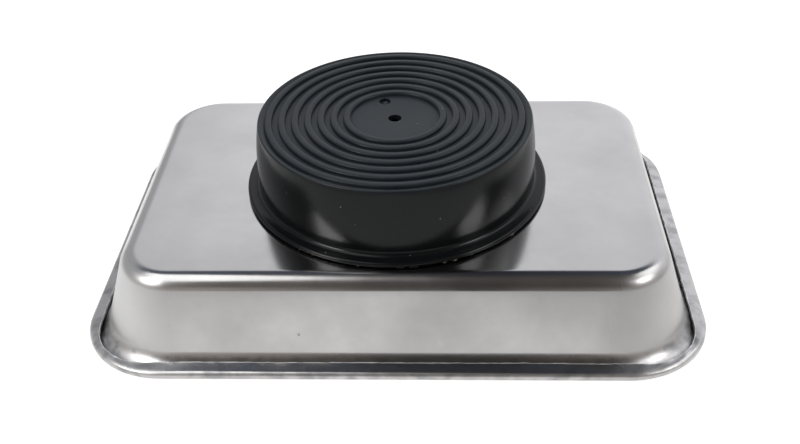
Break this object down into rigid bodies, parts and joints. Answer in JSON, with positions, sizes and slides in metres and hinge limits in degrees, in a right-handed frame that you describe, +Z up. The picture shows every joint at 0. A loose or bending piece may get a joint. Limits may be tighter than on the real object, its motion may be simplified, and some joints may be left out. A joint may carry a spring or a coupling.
{
  "type": "magnetic parts tray",
  "caption": "Shallow rectangular stainless tray with a folded rim and a round magnet base in a ridged soft boot, for keeping small steel parts together.",
  "frame": {"origin": "centre of the rim plane, which the tray stands on as pictured", "axes": "+X along the tray's length, +Y along its width, +Z up from the mouth towards the magnet base; the tray is stored upside down, as pictured, and turns half round about X for use"},
  "size_m": [0.15, 0.104, 0.0407],
  "materials": {
    "stainless_sheet": "polished and lightly scuffed",
    "bare_steel": "as drawn",
    "ferrite": "ground ceramic",
    "zinc_plated_steel": "bright zinc",
    "spring_steel": "blackened",
    "adhesive": "cured",
    "soft_black_plastic": "moulded satin"
  },
  "bodies": {
    "root": {"tray_pan": "stainless_sheet", "weld_stud": "bare_steel", "ring_magnet": "ferrite", "retainer_cup": "zinc_plated_steel", "plain_washer": "zinc_plated_steel", "spring_washer": "spring_steel", "hex_nut": "zinc_plated_steel", "adhesive_ring": "adhesive", "rubber_boot": "soft_black_plastic"}
  },
  "joints": []
}
